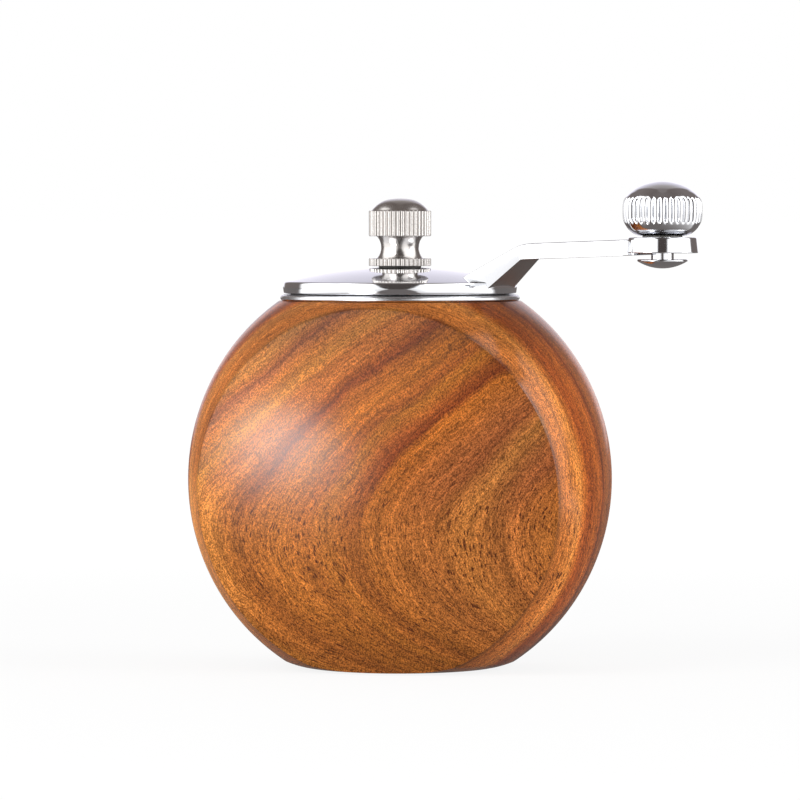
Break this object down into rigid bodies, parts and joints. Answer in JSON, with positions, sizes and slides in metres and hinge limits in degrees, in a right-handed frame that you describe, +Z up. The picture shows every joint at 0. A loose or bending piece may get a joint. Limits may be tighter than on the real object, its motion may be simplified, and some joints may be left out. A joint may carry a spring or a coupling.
{
  "type": "hand burr grinder",
  "caption": "Small hand-cranked burr grinder: a turned wooden ball with two flattened cheeks, a chromed crank lid and a knurled grind-setting finial.",
  "frame": {"origin": "centre of the flat base, on the turning axis", "axes": "+Z up the turning axis; the flattened cheeks face -Y and +Y; at rest the crank points 16.2 degrees from +X towards -Y"},
  "size_m": [0.1125, 0.0552, 0.103],
  "materials": {
    "oiled_wood": "satin",
    "chrome": "polished",
    "stainless": "satin",
    "zinc_steel": "satin",
    "spring_steel": "satin",
    "bronze": "satin",
    "ceramic": "matt",
    "dark_plastic": "matt",
    "black_plastic": "matt"
  },
  "bodies": {
    "mill": {"wood_body": "oiled_wood", "collar_ring": "chrome", "glide_ring": "black_plastic", "burr_housing": "dark_plastic", "bearing_bush": "bronze", "burr_ring": "ceramic", "base_plate": "stainless", "base_screws": "zinc_steel"},
    "drive": {"drive_sleeve": "dark_plastic", "burr_spring": "spring_steel"},
    "shaft": {"drive_shaft": "stainless", "cone_core": "dark_plastic", "burr_cone": "ceramic", "cone_washer": "stainless", "cone_screw": "zinc_steel"},
    "lid": {"crank_lid": "chrome", "finial_washer": "black_plastic"},
    "finial": {"finial": "chrome"},
    "knob": {"knob": "chrome", "knob_washer": "black_plastic", "knob_screw": "chrome"}
  },
  "joints": [
    {"name": "crank_turn", "type": "hinge", "parent": "mill", "child": "drive", "pos_m": [0, 0, 0], "axis": [0, 0, 1], "continuous": true},
    {"name": "grind_adjust", "type": "slide", "parent": "drive", "child": "shaft", "axis": [0, 0, 1], "range_m": [-0.0007, 0.00052], "deforming": ["burr_spring"]},
    {"name": "lid_lift", "type": "slide", "parent": "drive", "child": "lid", "axis": [0, 0, 1], "range_m": [0, 0.03]},
    {"name": "nut_turn", "type": "hinge", "parent": "lid", "child": "finial", "pos_m": [0, 0, 0], "axis": [0, 0, 1], "range_deg": [-270, 360]},
    {"name": "knob_spin", "type": "hinge", "parent": "lid", "child": "knob", "pos_m": [0.05925, -0.01721, 0], "axis": [0, 0, 1], "continuous": true}
  ],
  "couplings": [
    {"joint": "nut_turn", "follows": "grind_adjust", "rad_per_m": -8976}
  ]
}
